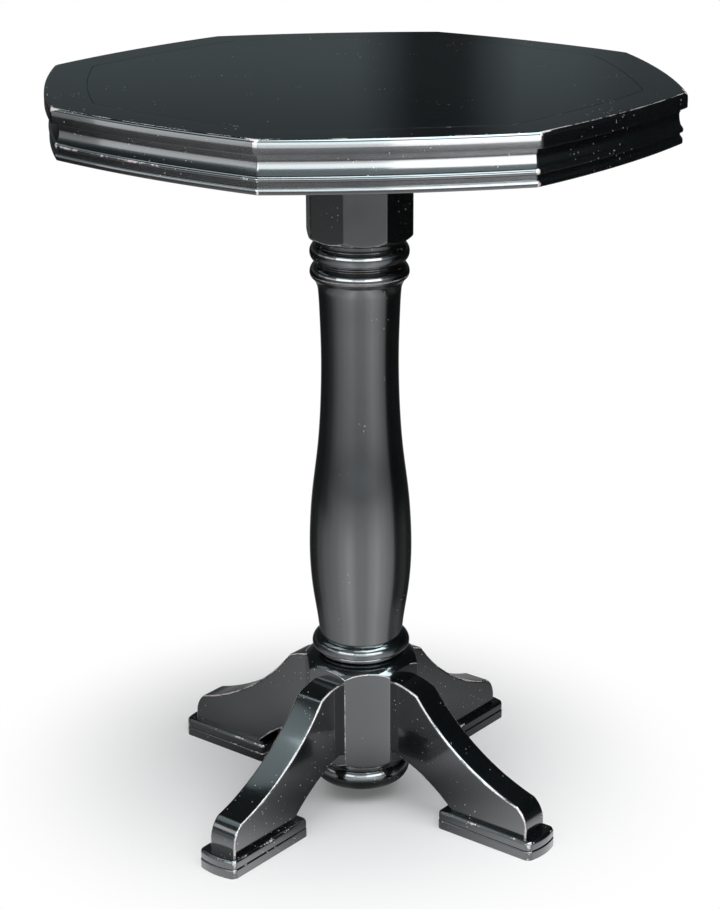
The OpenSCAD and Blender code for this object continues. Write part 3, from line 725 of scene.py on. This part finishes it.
def swept_ring(name, section):
    """A closed section of [distance in from the edge, height], swept round all eight sides"""
    past_the_mitres = 1.06
    half = math.asin(past_the_mitres * HALF_SIDE / SIDE_R)
    start = Vector((math.cos(half), math.sin(half)))
    points = [(-SIDE_C + (SIDE_R - d) * start.x, (SIDE_R - d) * start.y, z) for d, z in section]
    side = draw(name, points + points[:1], closed=False)
    bpy.ops.mesh.spin(steps=26, angle=2 * half, center=(-SIDE_C, 0, 0), axis=(0, 0, 1))
    cut((0, 0, 0), mitre_normal(EIGHTH / 2), remove=True)
    cut((0, 0, 0), -mitre_normal(-EIGHTH / 2), remove=True)
    done()
    sides = [copy_turned(side, f"{name}_{i}", EIGHTH * i) for i in range(1, 8)]
    work_on(side)
    for other in sides:
        other.select_set(True)
    bpy.ops.object.join()
    edit("VERT")
    close_up()
    done()
    return side


def from_mitre(point):
    """How far a point lies from the nearest mitre"""
    angle = math.atan2(point.y, point.x) % EIGHTH - EIGHTH / 2
    return abs(point.xy.length * math.sin(angle))


def on_a_mitre(point):
    return from_mitre(point) < 0.02 * MM


def depth_in(point):
    """How far a point lies in from the bowed edge"""
    angle = (math.atan2(point.y, point.x) + EIGHTH / 2) % EIGHTH - EIGHTH / 2
    r = point.xy.length
    return SIDE_R - math.hypot(r * math.cos(angle) + SIDE_C, r * math.sin(angle))


def rail_section():
    """Section of a border rail: an eased foot, a face that leans in, a roundover and a groove behind"""
    middle_z = (SLAB_Z + TOP_Z) / 2
    half = TONGUE_T / 2 + JOINT_ROOM
    back = BORDER_W - TONGUE_W - JOINT_ROOM
    lean = math.radians(FACE_TURN)
    edge_z = TOP_Z - EDGE_R
    edge_c = FACE_R - (FACE_R - EDGE_R) * math.cos(lean)
    face_z = edge_z - (FACE_R - EDGE_R) * math.sin(lean)
    crown = (arc((FACE_R, face_z), FACE_R, 180, 180 - FACE_TURN, 6)
             + arc((edge_c, edge_z), EDGE_R, 180 - FACE_TURN, 90, 12)[1:])
    foot = arc((EDGE_EASE, SLAB_Z + EDGE_EASE), EDGE_EASE, 270, 180, 4)
    groove = [(BORDER_W, middle_z + half), (back, middle_z + half), (back, middle_z - half),
              (BORDER_W, middle_z - half)]

    # The point just inside the roundover is where the wear of the edge ends
    return (foot + crown + [(edge_c + 1.2 * MM, TOP_Z), (BORDER_W, TOP_Z)] + groove + [(BORDER_W, SLAB_Z)])


def mould_section():
    """Section of the edge moulding: a fillet, a cove, a bead, a quirk and a larger bead"""
    fillet, fillet_in = 5.8 * MM, 0.9 * MM
    cove_h, cove_in, cove_out, cove_r = 18.6 * MM, 1.9 * MM, 1.22 * MM, 46 * MM
    mid_r, top_r, low_r = 4.3 * MM, 1.7 * MM, 14 * MM
    lean = 10
    face, back = MOULD_INSET, MOULD_INSET + MOULD_T
    cove_top = SLAB_Z - fillet
    cove_end = cove_top - cove_h
    mid_z = cove_end - 4 * MM

    # The lower bead is nearly flat between a small arc at its top and a larger one at its foot
    bead = arc((face - 3.7 * MM + low_r, MOULD_Z + 4.4 * MM), low_r, 180 - lean, 180 + lean, 5)
    (head_x, head_z), (foot_x, foot_z) = bead[0], bead[-1]
    across, down = math.cos(math.radians(lean)), math.sin(math.radians(lean))
    foot_r = (foot_z - MOULD_Z) / (1 - down)
    head = arc((head_x + top_r * across, head_z - top_r * down), top_r, 85, 180 - lean, 8)
    foot = arc((foot_x + foot_r * across, foot_z + foot_r * down), foot_r, 180 + lean, 270, 10)
    bead = head + bead[1:-1] + foot
    return ([(back, SLAB_Z), (face + fillet_in, SLAB_Z), (face + fillet_in, cove_top)]
            + arc_to((face + cove_in, cove_top), (face - cove_out, cove_end), -cove_r, 14)
            + arc((face + 0.2 * MM, mid_z), mid_r, 105, 255, 18)
            + [(face, mid_z - mid_r), (face, bead[0][1])] + bead
            + [(back, MOULD_Z)])


def cut_into_sides(ring, prefix):
    """Cuts a ring at its eight mitres into separate lengths, in the order of the sides"""
    lengths = []
    for i, side in enumerate(SIDES):
        work_on(ring)
        bpy.ops.object.duplicate()
        length = bpy.context.active_object
        length.name = length.data.name = prefix + side
        edit("VERT")
        cut((0, 0, 0), mitre_normal(side_angle(i) + EIGHTH / 2), remove=True, fill=True)
        cut((0, 0, 0), -mitre_normal(side_angle(i) - EIGHTH / 2), remove=True, fill=True)
        done()
        lengths.append(length)
    bpy.data.objects.remove(ring)
    return lengths


def cut_near_mitres(ring):
    """Adds loops on both sides of each mitre, so that the wear at a corner has places to end"""
    edit("VERT")
    for i in range(8):
        across = mitre_normal(side_angle(i) + EIGHTH / 2)
        for off in (-50, -30, -16, -7, 7, 16, 30, 50):
            cut(across * off * MM, across)
    done()


def side_of(point):
    """Which side of the top a point lies on"""
    return SIDES[round((math.atan2(point.y, point.x) - side_angle(0)) / EIGHTH) % 8]


def rail_wear(point):
    """Rails rub through at the corners, and along the top of the rounded edge, most beside the front"""
    lift = (point.z - TOP_Z + EDGE_R) / EDGE_R
    if depth_in(point) >= EDGE_R + 0.7 * MM or lift < 0:
        return 0
    corner_reach = 8 * MM + 45 * MM * lift ** 2
    corner = 1.15 - from_mitre(point) / corner_reach
    crest = {"front_left": 0.95, "front_right": 0.95, "front": 0.75}.get(side_of(point), 0.7)
    return max(corner, crest if lift > 0.96 else 0)


def make_rails():
    ring = swept_ring("rails", rail_section())
    outer = EDGE_R + 20 * MM
    rounded = TOP_Z - 5 * MM
    cut_near_mitres(ring)
    spots = arrises(ring, keep=lambda p: on_a_mitre(p) and depth_in(p) < outer)
    ease(ring, CORNER_EASE, 4, keep=lambda p: on_a_mitre(p) and depth_in(p) < outer)
    ease(ring, SEAM_EASE, 2, keep=lambda p: p.z > TOP_Z - MM and depth_in(p) > outer)
    rub_and_paint_highlights(ring, spots, CORNER_EASE, lambda p: 1 if p.z > rounded else 0.5, rail_wear)
    for side, rail in zip(SIDES, cut_into_sides(ring, "lacquered_rail_")):
        finish_piece(rail, TOP_LACQUER, "border_rail_" + side)


def mould_wear(point):
    """Mouldings rub through at the corners, and furthest along their crests"""
    proud = depth_in(point) < MOULD_INSET - 2 * MM
    corner = 1 - from_mitre(point) / (15 * MM) if proud else 0.5 - from_mitre(point) / (5 * MM)
    crest = depth_in(point) < MOULD_INSET - 3.7 * MM and side_of(point) == "front_left"
    return max(corner, 0.8 if crest else 0)


def make_mouldings():
    ring = swept_ring("mouldings", mould_section())
    outer = MOULD_INSET + MOULD_T / 2
    cut_near_mitres(ring)
    spots = arrises(ring, keep=lambda p: on_a_mitre(p) and depth_in(p) < outer)
    ease(ring, MOULD_EASE, 4, keep=lambda p: on_a_mitre(p) and depth_in(p) < outer)
    crests = MOULD_INSET - 1.5 * MM
    rub_and_paint_highlights(ring, spots, MOULD_EASE, lambda p: 0.9 if depth_in(p) < crests else 0.5, mould_wear)
    screw_y = 0.6 * HALF_SIDE
    screw_x = math.sqrt(SIDE_R ** 2 - screw_y ** 2) - SIDE_C - MOULD_INSET - 0.55 * MOULD_T
    for i, moulding in enumerate(cut_into_sides(ring, "lacquered_moulding_")):
        turned = Matrix.Rotation(side_angle(i), 2)
        places = [turned @ Vector((screw_x, y)) for y in (-screw_y, screw_y)]
        bore(moulding, places, MOULD_HOLE_R, MOULD_Z - MM, MOULD_HEAD_Z)
        finish_piece(moulding, EDGE_LACQUER, "edge_moulding_" + SIDES[i])


def make_field():
    """The middle board: an octagon with a tongue pulled out all round it"""
    inset = BORDER_W + SEAM
    field = draw("lacquered_field", [(x, y, SLAB_Z) for x, y in octagon(inset, 24)])
    half = (TOP_Z - SLAB_Z - TONGUE_T) / 2
    pull((0, 0, half))
    pull((0, 0, TONGUE_T))
    pull((0, 0, half))
    close_up()
    middle_z = (SLAB_Z + TOP_Z) / 2
    pick(field, "faces", lambda f: abs(f.normal.z) < 0.5 and abs(middle(f).z - middle_z) < TONGUE_T / 4)
    bpy.ops.mesh.extrude_region_shrink_fatten(TRANSFORM_OT_shrink_fatten={"value": TONGUE_W + SEAM})
    done()
    spots = arrises(field, keep=lambda p: p.z > TOP_Z - MM)
    ease(field, SEAM_EASE, 2, keep=lambda p: p.z > TOP_Z - MM)
    rub_and_paint_highlights(field, spots, SEAM_EASE, lambda p: 0.72)
    finish_piece(field, TOP_LACQUER, "field_panel")


# The column

def vase_outline(z0, length):
    """The long swelling of the column, as shares of its length and of the way from waist to belly"""
    waist, belly = 54.7 * MM, 73.65 * MM
    shares = ((0, 0.287), (0.046, 0.44), (0.115, 0.735), (0.186, 0.94), (0.256, 1), (0.327, 0.94),
              (0.396, 0.8), (0.465, 0.57), (0.534, 0.33), (0.602, 0.166), (0.673, 0.06), (0.762, 0),
              (0.833, 0.016), (0.898, 0.075), (0.943, 0.129), (0.965, 0.171), (0.98, 0.235),
              (0.99, 0.343), (0.996, 0.44), (1, 0.5435))
    return [(waist + (belly - waist) * y, z0 + length * x) for x, y in spline(shares, 5)]


def flat_side(apothem, low_z, high_z, steps):
    """Upright line between two shoulders, which the flats are later pressed from"""
    return [(apothem, low_z + (high_z - low_z) * (i + 0.2) / steps) for i in range(steps)]


def turned_outline():
    """Outline of the whole column as [radius, height], with its octagonal blocks still round"""
    base_top = BLOCK_BASE_Z + BLOCK_BASE_H
    ring_h, ring_r, ring_turn = 10 * MM, 64.3 * MM, 4.8 * MM
    bead_out, bead_r = 71 * MM, 14.5 * MM
    neck_out, neck_r, under_r, neck_pitch = 69.5 * MM, 16 * MM, 11 * MM, 28.8 * MM
    bead_from, bead_to, neck_to = -18, 76, 53
    ring_top = base_top + ring_h
    ring_c = ring_r - ring_turn
    bead_z = ring_top - bead_r * math.sin(math.radians(bead_from))
    vase_z = bead_z + bead_r * math.sin(math.radians(bead_to)) + 1.5 * MM
    vase_end = 788.7 * MM
    low_neck = vase_end + 9.1 * MM
    high_neck = low_neck + neck_pitch
    meet = math.degrees(math.asin(neck_pitch / 2 / neck_r))
    fillet_z = high_neck + neck_r * math.sin(math.radians(neck_to))
    block_z = fillet_z + 1.1 * MM
    flat = math.acos((BASE_APOTHEM - BASE_SHOULDER_C) / SHOULDER_R)
    neck_flat = math.acos((NECK_APOTHEM - NECK_SHOULDER_C) / SHOULDER_R)
    lower, upper = BLOCK_BASE_Z + SHOULDER_R, base_top - SHOULDER_R
    neck_lower = block_z + SHOULDER_R
    bore_top = BLOCK_BASE_Z + BORE_DEPTH
    base_block = ([(0, bore_top), (BORE_R, bore_top), (BORE_R, BLOCK_BASE_Z)]
                  + arc((BASE_SHOULDER_C, lower), SHOULDER_R, -BASE_END, -math.degrees(flat), 12)
                  + flat_side(BASE_APOTHEM, lower - SHOULDER_R * math.sin(flat),
                              upper + SHOULDER_R * math.sin(flat), 6)
                  + arc((BASE_SHOULDER_C, upper), SHOULDER_R, math.degrees(flat), BASE_END, 12))
    ring = [(ring_c, base_top)] + arc((ring_c, base_top + ring_h / 2), ring_turn, -80, 80, 12)
    bead = arc((bead_out - bead_r, bead_z), bead_r, bead_from, bead_to, 16)
    vase = vase_outline(vase_z, vase_end - vase_z)
    low_bead = (arc((neck_out - under_r, low_neck), under_r, -52, -12, 8)
                + arc((neck_out - neck_r, low_neck), neck_r, -8, meet, 16))
    high_bead = arc((neck_out - neck_r, high_neck), neck_r, -meet, neck_to, 24)
    neck_block = ([(NECK_FILLET_R, fillet_z + 0.3 * MM)]
                  + arc((NECK_SHOULDER_C, neck_lower), SHOULDER_R, -NECK_END, -math.degrees(neck_flat), 12)
                  + flat_side(NECK_APOTHEM, neck_lower - SHOULDER_R * math.sin(neck_flat), PLATE_Z, 5)
                  + [(NECK_APOTHEM, PLATE_Z), (0, PLATE_Z)])
    return block_z, (base_block + ring + bead + vase + joined(low_bead, high_bead, 1.5 * MM) + neck_block)


def plane_flats(piece, apothem, shoulder_c, low_z, high_z, end, both):
    """Presses a round block out to an octagon, and carries its turned shoulder, or both, out to meet the
    flats. The shoulder ends on its other side at an angle in degrees"""
    speck = 0.001 * MM
    flat = math.acos((apothem - shoulder_c) / SHOULDER_R)
    end = math.radians(end)
    first = low_z + SHOULDER_R * (1 - math.sin(end)) - speck
    lower, upper = low_z + SHOULDER_R, high_z - SHOULDER_R

    def ends_of_flat(angle):
        rise = SHOULDER_R * math.sin(angle)
        return lower - rise, upper + rise if both else high_z

    was_low, was_high = ends_of_flat(flat)
    for v in piece.data.vertices:
        r, z = v.co.xy.length, v.co.z
        if not first <= z <= high_z + speck or r < shoulder_c:
            continue
        bearing = math.atan2(v.co.y, v.co.x)
        off = (bearing + EIGHTH / 2) % EIGHTH - EIGHTH / 2
        wide = apothem / math.cos(off)
        meet = math.acos(min(1, (wide - shoulder_c) / SHOULDER_R))
        if z < was_low + speck or both and z > was_high - speck:
            centre, way = (lower, -1) if z < was_low + speck else (upper, 1)
            angle = math.asin(min(1, (z - centre) * way / SHOULDER_R))
            angle = end - (end - angle) * (end - meet) / (end - flat)
            r, z = shoulder_c + SHOULDER_R * math.cos(angle), centre + way * SHOULDER_R * math.sin(angle)
        else:
            new_low, new_high = ends_of_flat(meet)
            r, z = wide, new_low + (z - was_low) * (new_high - new_low) / (was_high - was_low)
        v.co = (r * math.cos(bearing), r * math.sin(bearing), z)


def column_share(point):
    """How far the column's arrises rub through, by their height and by their bearing in degrees. The
    blocks do so along some of their upright corners, and not along others"""
    low_bead, neck_foot, base_foot = (780 * MM, 810 * MM), (830 * MM, 857 * MM), 220 * MM
    bearing = math.degrees(math.atan2(point.y, point.x))
    corner = round((bearing - 22.5) / 45) * 45 + 22.5
    if low_bead[0] < point.z < low_bead[1]:
        return 1.2
    if neck_foot[0] < point.z < neck_foot[1]:
        return 1.15 if -155 < bearing < -115 else 0.6
    if point.z > low_bead[1]:
        return {-112.5: 0.3, -67.5: 0.95, -157.5: 0.95}.get(corner, 0.7)
    return {-112.5: 1.1, -67.5: 0.45}.get(corner, 0.9) if point.z < base_foot else 0.8


def make_column():
    block_z, outline = turned_outline()
    column = turn("lacquered_column", outline)
    plane_flats(column, BASE_APOTHEM, BASE_SHOULDER_C, BLOCK_BASE_Z, BLOCK_BASE_Z + BLOCK_BASE_H, BASE_END,
                True)
    plane_flats(column, NECK_APOTHEM, NECK_SHOULDER_C, block_z, PLATE_Z, NECK_END, False)
    spots = arrises(column, keep=lambda p: p.xy.length > BORE_R + MM)
    ease(column, BLOCK_EASE, 3, keep=lambda p: p.xy.length > BORE_R + MM)

    # The lower neck bead is rubbed all round, just below its widest
    bead_r, bead_z = 69.28 * MM, 795.4 * MM
    spots += [Vector((x, y, bead_z)) for x, y in arc((0, 0), bead_r, 0, 360, 450)]
    rub_and_paint_highlights(column, spots, BLOCK_EASE, column_share)
    finish_piece(column, COLUMN_LACQUER, "column")


def make_bun():
    out, roll_r, fillet_r = 71.6 * MM, 19 * MM, 66 * MM
    quirk_in, quirk_h, screw_sink = 2.5 * MM, 1.2 * MM, 8 * MM
    roll_c, roll_z = out - roll_r, BUN_Z + roll_r
    lip = math.degrees(math.acos((fillet_r - roll_c) / roll_r))
    lip_z = roll_z + roll_r * math.sin(math.radians(lip))
    fillet_z = lip_z + quirk_h
    spigot = BORE_R - JOINT_ROOM
    top = high("bun_finial").z
    bun = turn("lacquered_bun", [(0, BUN_Z)] + arc((roll_c, roll_z), roll_r, -90, lip, 28)
               + [(fillet_r - quirk_in, lip_z), (fillet_r - quirk_in, fillet_z), (fillet_r, fillet_z),
                  (fillet_r, BLOCK_BASE_Z), (spigot, BLOCK_BASE_Z), (spigot, top), (0, top)])
    spots = arrises(bun, keep=lambda p: p.xy.length > spigot + MM)
    ease(bun, BUN_EASE, 2, keep=lambda p: p.xy.length > spigot + MM)
    rub_and_paint_highlights(bun, spots, BUN_EASE)
    reach = (BORE_R + BASE_SHOULDER_C) / 2
    places = [(reach, 0), (0, reach), (-reach, 0), (0, -reach)]
    bore(bun, places, SCREW_HOLE_R, BUN_Z - MM, BUN_Z + screw_sink)
    finish_piece(bun, COLUMN_LACQUER, "bun_finial")


# Legs and feet

def leg_outline():
    """Side of a leg as [distance from the axis, height]"""
    top = (BASE_APOTHEM, BLOCK_BASE_Z + BLOCK_BASE_H - 25.5 * MM)
    knee = (top[0] + 40 * MM, top[1] - 10.7 * MM)
    toe = (LEG_REACH - 16.5 * MM, 71.7 * MM)
    turn_at = (LEG_REACH, 40 * MM)
    heel = (183 * MM, CAP_Z)
    root = (BASE_APOTHEM, BLOCK_BASE_Z + 26 * MM)
    return (arc_to(top, knee, -108 * MM, 10) + arc_to(knee, toe, 343 * MM, 36)[1:]
            + arc_to(toe, turn_at, -38 * MM, 12)[1:] + [(LEG_REACH, CAP_Z)]
            + arc_to(heel, root, 247 * MM, 16))


def make_legs():
    leg = draw("lacquered_leg", [(r, -LEG_T / 2, z) for r, z in leg_outline()])
    pull((0, LEG_T, 0))
    close_up()
    done()

    def on_a_side(p):
        return p.x > BASE_APOTHEM + 0.2 * MM and p.z > CAP_Z + 0.2 * MM and abs(p.y) > LEG_T / 2 - MM

    def across_the_top(p):
        return p.x > BASE_APOTHEM + 0.2 * MM and p.z > 60 * MM and abs(p.y) < MM

    ease(leg, KNEE_EASE, 3, 15, across_the_top)
    # The side arrises are painted pale: partly rubbed through, partly a painted highlight along the
    # roundover
    spots = arrises(leg, 40, on_a_side)
    ease(leg, LEG_EASE, 5, 40, on_a_side)
    rub_and_paint_highlights(leg, spots, LEG_EASE)
    for i, corner in enumerate(CORNERS):
        own = copy_turned(leg, "lacquered_leg_" + corner, side_angle(1) + math.radians(90) * i)
        finish_piece(own, LEG_LACQUER, "leg_" + corner)
    bpy.data.objects.remove(leg)


def foot_plan(inset):
    """Plan of a foot with a bowed outer end"""
    half = FOOT_W / 2 - inset
    inner, outer = FOOT_OUT - FOOT_L + inset, FOOT_OUT - inset
    end_r = (FOOT_W ** 2 / 4 + FOOT_BOW ** 2) / (2 * FOOT_BOW)
    return [(inner, half), (inner, -half)] + arc_to((outer, -half), (outer, half), end_r, 8)


def make_foot_layer(name, node, low_z, high_z, inset, top_round, low_round, wear_and_painted_highlight):
    """One layer of a foot, with its upright corners rounded and its two rims eased"""
    foot = draw(name, [(x, y, low_z) for x, y in foot_plan(inset)])
    pull((0, 0, high_z - low_z))
    close_up()
    middle_z = (low_z + high_z) / 2
    ease(foot, FOOT_CORNER, 8, keep=lambda p: abs(p.z - middle_z) < MM)
    spots = arrises(foot, 45)
    ease(foot, top_round, 6, 45, keep=lambda p: p.z > high_z - 0.1 * MM)
    ease(foot, low_round, 3, 45, keep=lambda p: p.z < low_z + 0.1 * MM)
    # The top rim and the upright corners of the outer end are painted pale: partly rubbed through, partly
    # painted highlights
    corners = [Vector(foot_plan(inset)[i]) for i in (2, -1)]
    crest = (math.sqrt(2) - 1) * FOOT_CORNER

    def upright_wear_and_painted_highlight(point):
        away = min((point.xy - corner).length for corner in corners)
        return 0.85 * (1 - max(0, away - crest) / (FOOT_CORNER - crest))

    rub_and_paint_highlights(foot, [p for p in spots if p.z > high_z - MM], top_round, lambda point: wear_and_painted_highlight, upright_wear_and_painted_highlight)
    if low_z == 0:
        bore(foot, [(x, 0) for x in FOOT_SCREWS], SCREW_HOLE_R, -MM, SCREW_SINK)
    for i, corner in enumerate(CORNERS):
        own = copy_turned(foot, f"{name}_{corner}", side_angle(1) + math.radians(90) * i)
        finish_piece(own, LEG_LACQUER, node + corner)
    bpy.data.objects.remove(foot)


def make_feet():
    make_foot_layer("lacquered_cap", "foot_cap_", BASE_Z, CAP_Z, CAP_INSET, CAP_ROUND, GROOVE_ROUND, 0.58)
    make_foot_layer("lacquered_pad", "foot_pad_", 0, BASE_Z, 0, GROOVE_ROUND, PAD_EASE, 0.5)


# What stays out of sight

def paint_hidden_joinery():
    """The frame's own glue blocks, plate, splines and fasteners keep their shapes and get their finish"""
    wooden = ["mounting_plate", "mitre_splines"] + [f"corner_block_{i}" for i in range(1, 9)]
    metal = ["moulding_screws", "plate_screws", "column_screws", "bun_screws", "leg_bolts", "leg_washers",
             "leg_nuts", "foot_screws"]
    for names, material, slot in ((wooden, BARE_WOOD, "bare_wood"), (metal, ZINC, "zinc_steel")):
        for name in names:
            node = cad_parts[name]
            node.data.materials.clear()
            node.data.materials.append(material)


place_camera()
paint_the_world()
lay_the_floor()
light_the_studio()
make_field()
make_rails()
make_mouldings()
make_column()
make_bun()
make_legs()
make_feet()
paint_hidden_joinery()

bpy.context.scene.view_settings.view_transform = "Standard"
